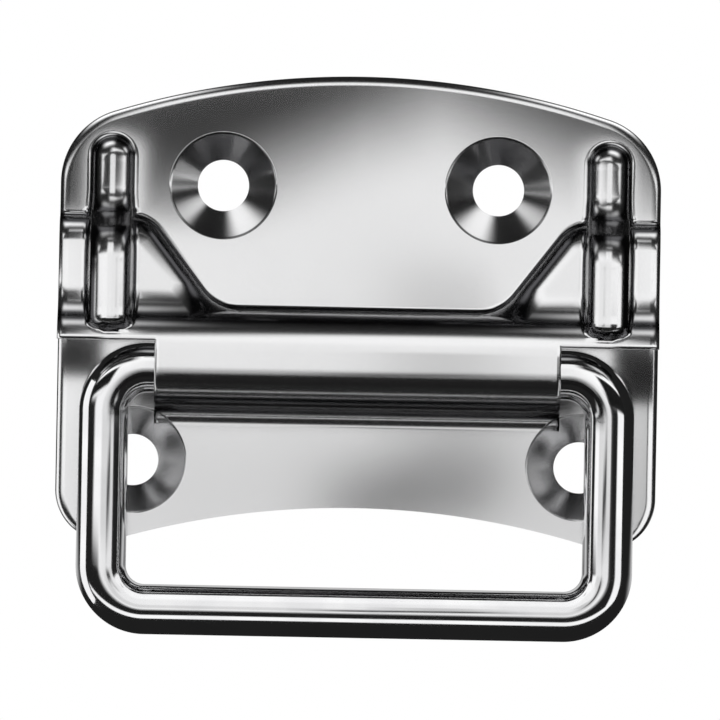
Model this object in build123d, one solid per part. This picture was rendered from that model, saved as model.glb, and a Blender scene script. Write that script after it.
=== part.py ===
from build123d import *
import math
import os

# Frame: millimetres, +Z up, +X right, the front faces -Y.
# The back of the plate lies in the plane Y = 0, against the chest.
# The origin is on the back face, midway between the upper pair of screw holes.
# A height is measured forward from the back of the plate, and a drop down from the origin.

# Sheet: the outer edge of the plate is rounded a little tighter than the bends.
sheet = 2.0
bend_radius = 1.0
rim_step = 0.1

# Outline of the plate
plate_width = 96.0
plate_top = 17.8
plate_bottom = -51.2
top_arc_radius = 130.0
bottom_arc_radius = 132.0
top_corner_radius = 12.0
bottom_corner_radius = 8.0

# Screw holes
hole_diameter = 8.2
countersink_diameter = 17.1
countersink_land = 0.4
upper_hole_spacing = 44.0
lower_hole_spacing = 71.4
hole_row_distance = 44.1

# Bail: its arms hang this far inside the sides of the plate, and its ends turn in behind the channel.
wire_diameter = 8.0
fit_gap = 0.3
hinge_drop = 29.3
arm_inset = 7.6
bail_reach = 38.6
elbow_radius = 7.0
grip_corner_radius = 7.0
stub_engagement = 14.0
stub_chamfer = 0.8

# Channel over the ends of the bail: the slot for each elbow reaches in past the arm.
slot_reach = 4.0
channel_headroom = 3.3

# Hoods that carry the channel's upper side out to the edges of the plate
hood_top_drop = 5.3
hood_width = 14.1
hood_slant = 11.3
hood_rise = 4.6
hood_sweep_radius = 4.5
hood_foot_radius = 8.0
hood_head_radius = 6.0
hood_inner_radius = 0.8

# Ribs
rib_inset = 8.3
rib_width = 7.0
rib_crest_flat = 0.6
rib_end_flat = 0.2
rib_relief = 3.0
rib_top = 7.8
rib_proud = 2.2
ramp_foot_drop = 4.0
ramp_head_drop = 9.0
ramp_foot_radius = 3.0
ramp_head_radius = 5.0
rib_end_drop = 22.0
rib_end_slope = 60.0

# Places that follow from the sizes above
wire_radius = wire_diameter / 2
half_width = plate_width / 2
side_top_z = plate_top - top_arc_radius + math.sqrt(top_arc_radius**2 - half_width**2)
side_bottom_z = plate_bottom - bottom_arc_radius + math.sqrt(bottom_arc_radius**2 - half_width**2)
rim_radius = bend_radius - rim_step
arm_centre = half_width - arm_inset
slot_inner_edge = arm_centre - wire_radius - slot_reach
hood_head = half_width - hood_width
hood_foot = hood_head - hood_slant
hood_shoulder_radius = sheet + hood_inner_radius
rib_centre = half_width - rib_inset
hinge_height = sheet + fit_gap + wire_radius
hinge_z = -hinge_drop
ledge_z = hinge_z + wire_radius + fit_gap
channel_bottom = hinge_z - wire_radius - fit_gap - sheet
channel_top = hinge_z + wire_radius + channel_headroom + sheet
crown_height = hinge_height + wire_radius + fit_gap + sheet
crown_corner_radius = wire_radius + fit_gap + sheet
rib_height = crown_height + rib_proud
rib_crest_radius = (rib_width - rib_crest_flat) / 2
rib_end_radius = (rib_width - rib_end_flat) / 2

# Stock left round the plate until its outline is cut
margin = 2 * sheet
blank_side = half_width + margin
blank_top = plate_top + margin
blank_bottom = side_bottom_z - margin
blank_height = rib_height + margin
tiny = 0.001

# Sketch plane seen from the side: local x is a height, local y is Z.
SIDE = Plane(origin=(0, 0, 0), x_dir=(0, -1, 0), z_dir=(-1, 0, 0))


def front_plane(height):
    # Sketch plane parallel to the plate: local x is X, local y is Z.
    return Plane.XZ.offset(height)


def block(x_range, height_range, z_range):
    size = (x_range[1] - x_range[0], height_range[1] - height_range[0], z_range[1] - z_range[0])
    centre = (sum(x_range) / 2, -sum(height_range) / 2, sum(z_range) / 2)
    return Pos(*centre) * Box(*size)


def both_sides(form):
    return form + mirror(form, Plane.YZ)


def corner_at(face, x, y):
    return face.vertices().sort_by_distance((x, y))[0]


def plate_outline():
    # An arched top and an arched-in bottom between straight sides, with round corners.
    edges = [
        ThreePointArc((-half_width, side_top_z), (0, plate_top), (half_width, side_top_z)),
        Line((half_width, side_top_z), (half_width, side_bottom_z)),
        ThreePointArc((half_width, side_bottom_z), (0, plate_bottom), (-half_width, side_bottom_z)),
        Line((-half_width, side_bottom_z), (-half_width, side_top_z)),
    ]
    face = make_face(edges)
    face = fillet(face.vertices().sort_by(Axis.Y)[2:], top_corner_radius)
    return fillet(face.vertices().sort_by(Axis.Y)[:2], bottom_corner_radius)


def channel_form(inset):
    # Straight flanks under two round shoulders, drawn out along X.
    points = [
        (-margin, channel_bottom),
        (crown_height, channel_bottom),
        (crown_height, channel_top),
        (-margin, channel_top),
    ]
    profile = make_face(Polyline(*points, close=True))
    profile = fillet(profile.vertices().sort_by(Axis.X)[2:], crown_corner_radius)
    if inset > 0:
        profile = offset(profile, -inset)
    return extrude(SIDE * profile, blank_side + margin, both=True)


def hood_plan(inset):
    # The right hood from the front: its edge slants down from the outside to the channel.
    outside = blank_side + margin
    points = [
        (0, channel_top),
        (hood_foot, channel_top),
        (hood_head, -hood_top_drop),
        (outside, -hood_top_drop),
        (outside, hinge_z),
        (0, hinge_z),
    ]
    plan = make_face(Polyline(*points, close=True))
    plan = fillet(corner_at(plan, hood_foot, channel_top), hood_foot_radius)
    plan = fillet(corner_at(plan, hood_head, -hood_top_drop), hood_head_radius)
    if inset > 0:
        plan = offset(plan, -inset)
    return Plane.XZ * plan


def hood_section(inset):
    # A hood from the side: a level terrace, then a hollow sweep up to the channel's round shoulder.
    terrace = sheet + hood_rise - inset
    shoulder_z = channel_top - crown_corner_radius
    shoulder_height = crown_height - crown_corner_radius
    sweep_radius = hood_sweep_radius + inset
    centre_rise = terrace + sweep_radius - shoulder_height
    centre_distance = crown_corner_radius - inset + sweep_radius
    centre_run = math.sqrt(centre_distance**2 - centre_rise**2)
    turn = math.degrees(math.atan2(centre_run, centre_rise))
    sweep_line = CenterArc((terrace + sweep_radius, shoulder_z + centre_run), sweep_radius, 180, turn)
    foot = sweep_line @ 0
    head = sweep_line @ 1
    rest = [(terrace, blank_top), (-margin, blank_top), (-margin, hinge_z), (head.X, hinge_z)]
    return SIDE * make_face([sweep_line, Polyline(foot, *rest, head)])


def hood_form(inset):
    # Upright walls stand on the plan, with a round shoulder where they meet the terrace and the sweep.
    plan = hood_plan(inset)
    length = blank_side + margin
    form = extrude(plan, blank_height) & extrude(hood_section(inset), length, both=True)
    wall_line = plan.wire()
    terrace = sheet + hood_rise - inset
    foot_z = channel_top - inset

    def on_shoulder(edge):
        middle = edge @ 0.5
        free = middle.X < blank_side and middle.Z > foot_z + tiny
        on_wall = wall_line.distance_to(Vector(middle.X, 0, middle.Z)) < tiny
        return free and on_wall and -middle.Y > terrace - tiny

    return fillet(form.edges().filter_by(on_shoulder), hood_shoulder_radius - inset)


def rib_profile():
    # The crest runs level over the plate, climbs a ramp and runs level again over the hood.
    low_crest = sheet + rib_relief
    end_run = (rib_height + margin) / math.tan(math.radians(rib_end_slope))
    points = [
        (-margin, rib_top),
        (low_crest, rib_top),
        (low_crest, -ramp_foot_drop),
        (rib_height, -ramp_head_drop),
        (rib_height, -rib_end_drop),
        (-margin, -rib_end_drop - end_run),
    ]
    profile = make_face(Polyline(*points, close=True))
    profile = fillet(corner_at(profile, low_crest, -ramp_foot_drop), ramp_foot_radius)
    return fillet(corner_at(profile, rib_height, -ramp_head_drop), ramp_head_radius)


def rib_form(inset):
    # A wall with a rounded crest, round at its top end and cut off on the slant at its lower end.
    profile = rib_profile()
    if inset > 0:
        profile = offset(profile, -inset)
    half = rib_width / 2 - inset
    form = extrude(SIDE * profile, half, both=True)
    end_edges = form.edges().filter_by(Axis.Y).group_by(Axis.Z)[-1]
    form = fillet(end_edges, rib_end_radius - inset)
    low_crest = sheet + rib_relief - inset

    def on_crest(edge):
        box = edge.bounding_box()
        crosses = box.max.X - box.min.X > 2 * half - tiny
        return -box.max.Y > low_crest - tiny and not crosses

    crest = form.edges().filter_by(on_crest)
    return Pos(rib_centre, 0, 0) * fillet(crest, rib_crest_radius - inset)


def set_on_slab(form, slab_height, radius):
    # The form stands on a slab whose front lies at this height, with a fillet round its foot.
    x_range = (-blank_side, blank_side)
    z_range = (blank_bottom, blank_top)
    in_front = block(x_range, (slab_height, blank_height), z_range)
    slab = block(x_range, (slab_height - sheet, slab_height), z_range)
    joined = (form & in_front) + slab
    border = slab.faces().sort_by(Axis.Y)[0].outer_wire()

    def at_foot(edge):
        box = edge.bounding_box()
        level = abs(box.min.Y + slab_height) < tiny and abs(box.max.Y + slab_height) < tiny
        return level and border.distance_to(edge @ 0.5) > tiny

    return fillet(joined.edges().filter_by(at_foot), radius)


def raised_forms(inset):
    # Everything pressed forward, standing on a slab. With an inset it is the same one sheet in.
    foot_radius = bend_radius + inset
    forms = set_on_slab(channel_form(inset) + both_sides(hood_form(inset)), sheet - inset, foot_radius)
    ribs = set_on_slab(rib_form(inset), sheet - inset, foot_radius)
    return forms + both_sides(ribs)


def slot_strips(height_range):
    # The strips behind the arms, left at the plate's level where the sheet is lanced.
    strip = block((slot_inner_edge, blank_side + margin), height_range, (blank_bottom - margin, ledge_z))
    return both_sides(strip)


def rim_edges(body, outline):
    # The front edges of the flat part of the plate, all along its outline.
    line = (front_plane(sheet) * outline).wire()

    def on_rim(edge):
        return line.distance_to(edge @ 0) < tiny and line.distance_to(edge @ 0.5) < tiny

    return body.edges().filter_by(on_rim)


def screw_hole():
    # A clearance hole whose cone opens to the front.
    points = [
        (-margin, 0),
        (-margin, hole_diameter / 2),
        (countersink_land, hole_diameter / 2),
        (sheet, countersink_diameter / 2),
        (blank_height, countersink_diameter / 2),
        (blank_height, 0),
    ]
    return revolve(SIDE * make_face(Polyline(*points, close=True)), Axis.Y)


def screw_holes():
    upper = Pos(upper_hole_spacing / 2, 0, 0) * screw_hole()
    lower = Pos(lower_hole_spacing / 2, 0, -hole_row_distance) * screw_hole()
    return both_sides(upper + lower)


def make_plate():
    outline = plate_outline()
    front = raised_forms(0) - slot_strips((sheet, blank_height + margin))
    body = front & extrude(Plane.XZ * outline, blank_height)
    body = fillet(rim_edges(body, outline), rim_radius)
    hollow = raised_forms(sheet) - slot_strips((0, blank_height + margin))
    return body - hollow - screw_holes()


def make_bail():
    # One round bar: a straight grip, two arms and two ends turned in behind the channel.
    stub_end = slot_inner_edge - stub_engagement
    grip_z = hinge_z - bail_reach
    corners = [
        (-stub_end, hinge_z),
        (-arm_centre, hinge_z),
        (-arm_centre, grip_z),
        (arm_centre, grip_z),
        (arm_centre, hinge_z),
        (stub_end, hinge_z),
    ]
    radii = [elbow_radius, grip_corner_radius, grip_corner_radius, elbow_radius]
    path = front_plane(hinge_height) * FilletPolyline(*corners, radius=radii)
    bar = sweep(Plane(origin=path @ 0, z_dir=path % 0) * Circle(wire_radius), path=path)
    end_rings = bar.faces().filter_by(GeomType.PLANE).edges()
    return chamfer(end_rings, stub_chamfer)


def main():
    os.makedirs("parts", exist_ok=True)
    export_step(make_plate(), "parts/mounting_plate.step")
    export_step(make_bail(), "parts/bail.step")


main()
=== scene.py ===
"""Chest handle: a pressed, bright-plated mounting plate and a round-bar bail, set up for a studio picture."""

from __future__ import annotations

import logging
import math
from dataclasses import dataclass
from enum import Enum
from typing import Callable, Optional, Sequence, Union

import bpy
import numpy as np
from mathutils import Matrix, Vector
from mathutils.geometry import delaunay_2d_cdt


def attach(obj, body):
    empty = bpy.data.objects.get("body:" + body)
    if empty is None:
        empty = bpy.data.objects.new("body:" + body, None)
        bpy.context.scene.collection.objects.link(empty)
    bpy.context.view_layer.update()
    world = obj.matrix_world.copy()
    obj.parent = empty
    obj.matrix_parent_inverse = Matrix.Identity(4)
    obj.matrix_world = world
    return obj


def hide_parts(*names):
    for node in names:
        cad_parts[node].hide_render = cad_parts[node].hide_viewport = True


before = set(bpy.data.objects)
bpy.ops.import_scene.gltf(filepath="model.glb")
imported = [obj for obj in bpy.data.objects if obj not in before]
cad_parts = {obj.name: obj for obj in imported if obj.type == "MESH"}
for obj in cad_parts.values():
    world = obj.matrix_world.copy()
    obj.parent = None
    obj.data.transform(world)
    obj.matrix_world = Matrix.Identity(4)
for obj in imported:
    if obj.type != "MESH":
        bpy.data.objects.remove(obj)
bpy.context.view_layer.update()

log = logging.getLogger("chest_handle")

MM = 0.001
WHITE = (1.0, 1.0, 1.0, 1.0)
TINY = 1e-9

Array = np.ndarray
Place = tuple[float, float, float]
Colour = tuple[float, float, float, float]
Field = Callable[[Array, Array], Array]


class Slot(Enum):
    """Names of the material slots of the record; nothing in this script uses them."""

    PLATE = "plate_plating"
    BAIL = "bail_plating"


class Node(Enum):
    """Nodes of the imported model."""

    PLATE = "mounting_plate"
    BAIL = "bail"


class Body(Enum):
    """Bodies that the pieces move with."""

    PLATE = "plate"
    BAIL = "bail"


Input = Union["Signal", float, int, bool, str, Sequence[float], bpy.types.Material, bpy.types.Object]
Inputs = dict[Union[str, int], Input]


def operator(operation: str, reflected: bool = False) -> Callable[..., "Signal"]:
    """Makes a method of Signal that adds one Math node.

    Args:
        operation: the node's operation.
        reflected: true where the signal itself comes last.

    Returns:
        The method.
    """

    def method(signal: "Signal", *others: Input) -> "Signal":
        """Adds the node and gives its value."""
        values = (*others, signal) if reflected else (signal, *others)
        return signal.graph.take("ShaderNodeMath", dict(enumerate(values)), operation=operation)

    return method


class Signal:
    """One node socket, with Python's operators on it: an expression adds its Math nodes."""

    def __init__(self, graph: "Graph", socket: bpy.types.NodeSocket) -> None:
        """Wraps an output socket of a graph."""
        self.graph = graph
        self.socket = socket

    __add__ = operator("ADD")
    __radd__ = operator("ADD", True)
    __sub__ = operator("SUBTRACT")
    __rsub__ = operator("SUBTRACT", True)
    __mul__ = operator("MULTIPLY")
    __rmul__ = operator("MULTIPLY", True)
    __truediv__ = operator("DIVIDE")
    largest = operator("MAXIMUM")
    absolute = operator("ABSOLUTE")
    root = operator("SQRT")
    wave = operator("SINE")
    # The angle in radians that has the value as its cosine.
    angle = operator("ARCCOSINE")
    # One where the value is within a distance, given second, of another, given first.
    near = operator("COMPARE")

    def step(self, low: float, high: float, start: float = 0.0, end: float = 1.0) -> "Signal":
        """Goes smoothly from one value to another.

        Args:
            low: the input at which the change starts.
            high: the input at which it ends.
            start: the value before it.
            end: the value after it.

        Returns:
            The value in between.
        """
        inputs = {"Value": self, "From Min": low, "From Max": high, "To Min": start, "To Max": end}
        return self.graph.take("ShaderNodeMapRange", inputs, interpolation_type="SMOOTHSTEP")


class Graph:
    """A node tree that is being filled."""

    def __init__(self, tree: bpy.types.NodeTree) -> None:
        """Starts with an empty tree."""
        self.tree = tree
        tree.nodes.clear()

    def node(self, kind: str, inputs: Optional[Inputs] = None, **settings: object) -> bpy.types.Node:
        """Adds a node: its own settings first, then the values and links of its sockets.

        Args:
            kind: the node's type.
            inputs: values or signals by socket identifier, name or number.
            settings: the node's own settings.

        Returns:
            The node.
        """
        node = self.tree.nodes.new(kind)
        for name, value in settings.items():
            setattr(node, name, value)
        for key, value in (inputs or {}).items():
            named = [socket for socket in node.inputs if socket.identifier == key]
            socket = named[0] if named else node.inputs[key]
            if isinstance(value, Signal):
                self.tree.links.new(value.socket, socket)
            else:
                socket.default_value = value
        return node

    def take(
        self, kind: str, inputs: Optional[Inputs] = None, output: Union[str, int] = 0, **settings: object
    ) -> Signal:
        """Adds a node, as the method node does, and gives one of its outputs."""
        return Signal(self, self.node(kind, inputs, **settings).outputs[output])

    def split(self, vector: Signal) -> list[Signal]:
        """Splits a vector into its three parts."""
        return [Signal(self, part) for part in self.node("ShaderNodeSeparateXYZ", {0: vector}).outputs]

    def mix(self, factor: Input, first: Input, second: Input) -> Signal:
        """Mixes two colours by the second one's share."""
        inputs = {"Factor_Float": factor, "A_Color": first, "B_Color": second}
        return self.take("ShaderNodeMix", inputs, 2, data_type="RGBA")

    def noise(self, place: Signal, scale: float, detail: float, roughness: float) -> Signal:
        """Smooth noise from 0 to 1: its lumps per metre, and its finer octaves and their strength."""
        inputs = {"Vector": place, "Scale": scale, "Detail": detail, "Roughness": roughness}
        return self.take("ShaderNodeTexNoise", inputs, "Fac")


class Shader(Graph):
    """The node tree of a new material."""

    def __init__(self, name: str) -> None:
        """Starts a material with nothing in it.

        Args:
            name: the material's name.
        """
        self.material = bpy.data.materials.new(name)
        self.material.use_nodes = True
        super().__init__(self.material.node_tree)

    def place(self) -> Signal:
        """Object coordinates."""
        return self.take("ShaderNodeTexCoord", None, "Object")

    def attribute(self, name: str) -> Signal:
        """A value that the mesh carries."""
        return self.take("ShaderNodeAttribute", None, "Fac", attribute_name=name)

    def is_back(self) -> Signal:
        """One on the back of a face."""
        return self.take("ShaderNodeNewGeometry", None, "Backfacing")

    def surface(self, colour: Input, roughness: Input, **others: Input) -> Signal:
        """A Principled surface."""
        inputs = {"Base Color": colour, "Roughness": roughness, **others}
        return self.take("ShaderNodeBsdfPrincipled", inputs)

    def glow(self, light: Input) -> Signal:
        """A surface that gives white light."""
        return self.take("ShaderNodeEmission", {"Color": WHITE, "Strength": light})

    def clear(self) -> Signal:
        """A surface that can't be seen."""
        return self.take("ShaderNodeBsdfTransparent")

    def blend(self, share: Signal, first: Signal, second: Signal) -> Signal:
        """Blends two surfaces by the second one's share."""
        return self.take("ShaderNodeMixShader", {0: share, 1: first, 2: second})

    def finished(self, surface: Signal) -> bpy.types.Material:
        """Gives the material its surface."""
        self.node("ShaderNodeOutputMaterial", {"Surface": surface})
        return self.material


def put_in_scene(name: str, data: bpy.types.ID) -> bpy.types.Object:
    """Makes an object of a mesh or a camera and links it.

    Args:
        name: the object's name.
        data: what it shows.

    Returns:
        The object.
    """
    thing = bpy.data.objects.new(name, data)
    bpy.context.scene.collection.objects.link(thing)
    return thing


@dataclass(frozen=True)
class PlatePlating:
    """Bright nickel on a pressed sheet: a soft sheen, a faint mottle, the grain of rolled steel, and shade painted
    dark on steep walls and in the countersinks.
    """

    name: str = "plate_plating"
    bright: Colour = (0.86, 0.86, 0.865, 1.0)
    dull: Colour = (0.78, 0.78, 0.785, 1.0)
    # Near-black colour for painted shade: steep walls and the countersinks' cones are mixed towards it.
    painted_shade: Colour = (0.07, 0.07, 0.074, 1.0)
    smooth: float = 0.16
    rough: float = 0.21
    mottle_scale: float = 60.0
    grain_scale: float = 2600.0
    mark_pitch: float = 30.0
    bump_strength: float = 0.05
    bump_depth: float = 0.00002
    cone_end: tuple[float, float] = (8.4, 8.6)
    # Share of painted shade in the countersinks' cones.
    cone_shade: float = 0.15
    cone_polish: float = 0.02
    # Steepness over which the painted shade on walls comes in.
    painted_shade_start: tuple[float, float] = (0.18, 0.38)
    level_end: tuple[float, float] = (0.10, 0.30)

    def build(self) -> bpy.types.Material:
        """Makes the material.

        Returns:
            The material.
        """
        shader = Shader(self.name)
        place = shader.place()
        mottle = shader.noise(place, self.mottle_scale, 2.0, 0.5)
        grain = shader.noise(place, self.grain_scale, 1.0, 0.5)
        steep = shader.attribute("steep")
        ring = shader.attribute("turned")
        cone = ring.step(*self.cone_end, 1.0, 0.0)
        face = shader.mix(mottle * 0.5 + grain * 0.5, self.bright, self.dull)
        # Painted shade: the countersinks' cones are darkened a little.
        turned = shader.mix(cone * self.cone_shade, face, self.painted_shade)
        # Painted shade: steep walls go near black.
        colour = shader.mix(steep.step(*self.painted_shade_start), turned, self.painted_shade)
        roughness = self.smooth + mottle * (self.rough - self.smooth) - cone * self.cone_polish
        level = steep.step(*self.level_end, 1.0, 0.0)
        relief = grain * level + cone * (ring * self.mark_pitch).wave() * 0.5
        height = {"Strength": self.bump_strength, "Distance": self.bump_depth, "Height": relief}
        bump = shader.take("ShaderNodeBump", height)
        return shader.finished(shader.surface(colour, roughness, Metallic=1.0, Normal=bump))


@dataclass(frozen=True)
class BailPlating:
    """Bright nickel on drawn bar: mirror-like, with a gloss that varies a little."""

    name: str = "bail_plating"
    bright: Colour = (0.88, 0.88, 0.885, 1.0)
    dull: Colour = (0.80, 0.80, 0.81, 1.0)
    smooth: float = 0.06
    rough: float = 0.11
    mottle_scale: float = 90.0
    colour_ends: tuple[float, float] = (0.35, 0.65)
    gloss_ends: tuple[float, float] = (0.3, 0.7)

    def build(self) -> bpy.types.Material:
        """Makes the material.

        Returns:
            The material.
        """
        shader = Shader(self.name)
        mottle = shader.noise(shader.place(), self.mottle_scale, 3.0, 0.55)
        colour = shader.mix(mottle.step(*self.colour_ends), self.bright, self.dull)
        roughness = mottle.step(*self.gloss_ends, self.smooth, self.rough)
        return shader.finished(shader.surface(colour, roughness, Metallic=1.0))


@dataclass(frozen=True)
class Bail:
    """The round bar: a straight grip, two arms and two ends turned in behind the channel. In millimetres."""

    bar_radius: float = 4.0
    arm_centre: float = 40.4
    stub_end: float = 18.4
    hinge_height: float = 6.3
    hinge_z: float = -29.3
    reach: float = 38.6
    bend_radius: float = 7.0
    chamfer: float = 0.8
    bend_steps: int = 28
    sides: int = 72
    sharp_angle: float = math.radians(30)

    def sizes(self) -> dict[str, Union[float, int]]:
        """Collects the node group's named inputs.

        Returns:
            The lengths in metres, and the counts.
        """
        return {
            "Bar radius": self.bar_radius * MM,
            "Bend radius": self.bend_radius * MM,
            "Chamfer": self.chamfer * MM,
            "Bend steps": self.bend_steps,
            "Sides": self.sides,
        }

    def corners(self) -> list[Place]:
        """Works out the points of the bar's centre line.

        Returns:
            The points from the right end to the left one, in metres.
        """
        grip_z = self.hinge_z - self.reach
        along = (self.stub_end, self.stub_end + self.chamfer, self.arm_centre)
        flat = [(x, self.hinge_z) for x in along] + [(self.arm_centre, grip_z)]
        flat += [(-x, z) for x, z in reversed(flat)]
        return [(x * MM, -self.hinge_height * MM, z * MM) for x, z in flat]

    def tree(self, material: bpy.types.Material) -> bpy.types.NodeTree:
        """Builds the node group that sweeps the bar along its bent line.

        Args:
            material: the bar's finish.

        Returns:
            The node group.
        """
        tree = bpy.data.node_groups.new("bent_bar", "GeometryNodeTree")
        tree.interface.new_socket("Geometry", in_out="INPUT", socket_type="NodeSocketGeometry")
        for name, value in self.sizes().items():
            kind = "NodeSocketInt" if isinstance(value, int) else "NodeSocketFloat"
            tree.interface.new_socket(name, in_out="INPUT", socket_type=kind)
        tree.interface.new_socket("Geometry", in_out="OUTPUT", socket_type="NodeSocketGeometry")
        graph = Graph(tree)
        given = graph.node("NodeGroupInput")
        size = {name: Signal(graph, given.outputs[name]) for name in self.sizes()}
        corners = self.corners()
        line = graph.take("GeometryNodeMeshLine", {"Count": len(corners)})
        index = graph.take("GeometryNodeInputIndex")
        picker = graph.node("GeometryNodeIndexSwitch", data_type="VECTOR")
        while len(picker.index_switch_items) < len(corners):
            picker.index_switch_items.new()
        tree.links.new(index.socket, picker.inputs["Index"])
        for number, corner in enumerate(corners):
            picker.inputs[number + 1].default_value = corner
        place = Signal(graph, picker.outputs[0])
        placed = graph.take("GeometryNodeSetPosition", {"Geometry": line, "Position": place})
        curve = graph.take("GeometryNodeMeshToCurve", {"Mesh": placed})
        at_end = index.near(0.0, 0.5).largest(index.near(len(corners) - 1.0, 0.5))
        slim = 1.0 - at_end * (size["Chamfer"] / size["Bar radius"])
        scaled = graph.take("GeometryNodeSetCurveRadius", {"Curve": curve, "Radius": slim})
        bends = {"Curve": scaled, "Radius": size["Bend radius"], "Count": size["Bend steps"]}
        bent = graph.take("GeometryNodeFilletCurve", bends, mode="POLY")
        circle = {"Resolution": size["Sides"], "Radius": size["Bar radius"]}
        ring = graph.take("GeometryNodeCurvePrimitiveCircle", circle)
        radius = graph.take("GeometryNodeInputRadius")
        sweep = {"Curve": bent, "Profile Curve": ring, "Scale": radius, "Fill Caps": True}
        bar = graph.take("GeometryNodeCurveToMesh", sweep)
        real = graph.take("GeometryNodeRealizeInstances", {"Geometry": bar})
        dressed = graph.take("GeometryNodeSetMaterial", {"Geometry": real, "Material": material})
        graph.node("NodeGroupOutput", {"Geometry": dressed})
        return tree

    def build(self, material: bpy.types.Material) -> bpy.types.Object:
        """Makes the bar as a plain mesh, hangs it on the bail's body and hides the imported bail.

        Args:
            material: the bar's finish.

        Returns:
            The bar.
        """
        tree = self.tree(material)
        seed = put_in_scene("bail_line", bpy.data.meshes.new("bail_line"))
        modifier = seed.modifiers.new("bent_bar", "NODES")
        modifier.node_group = tree
        for item in tree.interface.items_tree:
            if item.in_out == "INPUT" and item.name in self.sizes():
                modifier[item.identifier] = self.sizes()[item.name]
        graph = bpy.context.evaluated_depsgraph_get()
        mesh = bpy.data.meshes.new_from_object(seed.evaluated_get(graph))
        seed.modifiers.clear()
        bpy.data.objects.remove(seed)
        mesh.shade_smooth()
        mesh.set_sharp_from_angle(angle=self.sharp_angle)
        bar = put_in_scene("round_bar_bail", mesh)
        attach(bar, Body.BAIL.value)
        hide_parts(Node.BAIL.value)
        log.info("bail: %d faces", len(mesh.polygons))
        return bar


def table(*columns: Union[Array, float]) -> Array:
    """Sets numbers side by side, one point per row."""
    return np.stack(np.broadcast_arrays(*columns), axis=1)


def circle_points(centre: Sequence[float], radius: float, angle: Array) -> Array:
    """Points of a circle in plan."""
    return table(centre[0] + radius * np.cos(angle), centre[1] + radius * np.sin(angle))


def unit(vector: Array) -> Array:
    """The vector at a length of one."""
    return vector / np.linalg.norm(vector)


def right_of(way: Array) -> Array:
    """The direction to the right of another, in a plane."""
    return np.array([way[1], -way[0]])


def quarter_steps(width: float, steps: int) -> list[float]:
    """Insets of the lines across a rounded edge, closest at the edge."""
    return [width * (1.0 - math.cos(math.pi / 2 * k / steps)) for k in range(steps + 1)]


def edge_drop(inside: Array, width: Array, depth: Array) -> Array:
    """How far a rounded edge falls, by the distance inside it."""
    left = np.clip(1.0 - inside / np.maximum(width, 1e-6), 0.0, 1.0)
    return depth * (1.0 - np.sqrt(np.maximum(1.0 - left**2, 0.0)))


def edge_slope(inside: Array, width: Array, depth: Array) -> Array:
    """How steeply a rounded edge rises, by the distance inside it.

    Args:
        inside: the distance.
        width: the edge's width.
        depth: how far it falls.

    Returns:
        The slope.
    """
    safe = np.maximum(width, 1e-6)
    left = np.clip(1.0 - inside / safe, 0.0, 0.9985)
    return np.where(inside < width, depth / safe * left / np.sqrt(1.0 - left**2), 0.0)


class Skin(Enum):
    """The two faces of the sheet, by their depth behind its front in millimetres."""

    FRONT = 0.0
    BACK = 2.0


@dataclass(frozen=True)
class Shoulder:
    """Section of a pressed form's side: a round shoulder, a wall that leans a little and a hollow foot."""

    crown_radius: float
    foot_radius: float
    lean: float = math.radians(84.0)

    def on(self, skin: Skin) -> "Shoulder":
        """The same side on one face of the sheet."""
        return Shoulder(self.crown_radius - skin.value, self.foot_radius + skin.value, self.lean)

    def stations(self, rise: Array) -> tuple[Array, Array, Array, Array]:
        """Finds where the parts of the section end.

        Args:
            rise: how high the form stands over its ground.

        Returns:
            The greatest slope angle, and the runs at the end of the shoulder, the wall and the foot.
        """
        both = self.crown_radius + self.foot_radius
        turn = np.minimum(self.lean, np.arccos(np.clip(1.0 - rise / both, -1.0, 1.0)))
        wall = np.maximum(0.0, rise - both * (1.0 - np.cos(turn)))
        crown_end = self.crown_radius * np.sin(turn)
        wall_end = crown_end + wall / math.tan(self.lean)
        return turn, crown_end, wall_end, wall_end + self.foot_radius * np.sin(turn)

    def height(self, run: Array, rise: Array) -> Array:
        """Height over the ground.

        Args:
            run: distance outwards from where the shoulder starts.
            rise: how high the form stands there.

        Returns:
            The height.
        """
        rise = np.maximum(rise, 0.0)
        turn, crown_end, wall_end, foot_end = self.stations(rise)
        crown = rise - self.crown_radius + np.sqrt(np.maximum(self.crown_radius**2 - run**2, 0.0))
        fall = rise - self.crown_radius * (1.0 - np.cos(turn))
        wall = fall - (run - crown_end) * math.tan(self.lean)
        left = np.maximum(foot_end - run, 0.0)
        foot = self.foot_radius - np.sqrt(np.maximum(self.foot_radius**2 - left**2, 0.0))
        return np.where(run < crown_end, crown, np.where(run < wall_end, wall, foot))

    def runs(self, rise: Array, crown_steps: int, foot_steps: int, least_wall: float = 0.05) -> list[Array]:
        """Runs of the lines that a mesh needs along the form's side.

        Args:
            rise: how high the form stands along the line.
            crown_steps: lines on the shoulder.
            foot_steps: lines on the foot.
            least_wall: the shortest wall that has a line of its own.

        Returns:
            The run of each line.
        """
        turn, _, wall_end, foot_end = self.stations(rise)
        lines = [self.crown_radius * np.sin(turn * k / crown_steps) for k in range(crown_steps + 1)]
        if float(np.max(wall_end - lines[-1])) > least_wall:
            lines.append(wall_end)
        for k in range(1, foot_steps + 1):
            lines.append(foot_end - self.foot_radius * np.sin(turn * (1.0 - k / foot_steps)))
        return lines

    def level_runs(self, skin: Skin, rise: float, crown_steps: int, foot_steps: int) -> list[float]:
        """Those runs on one face, where the form is as high all along."""
        return [float(run[0]) for run in self.on(skin).runs(np.array([rise]), crown_steps, foot_steps)]


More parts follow.
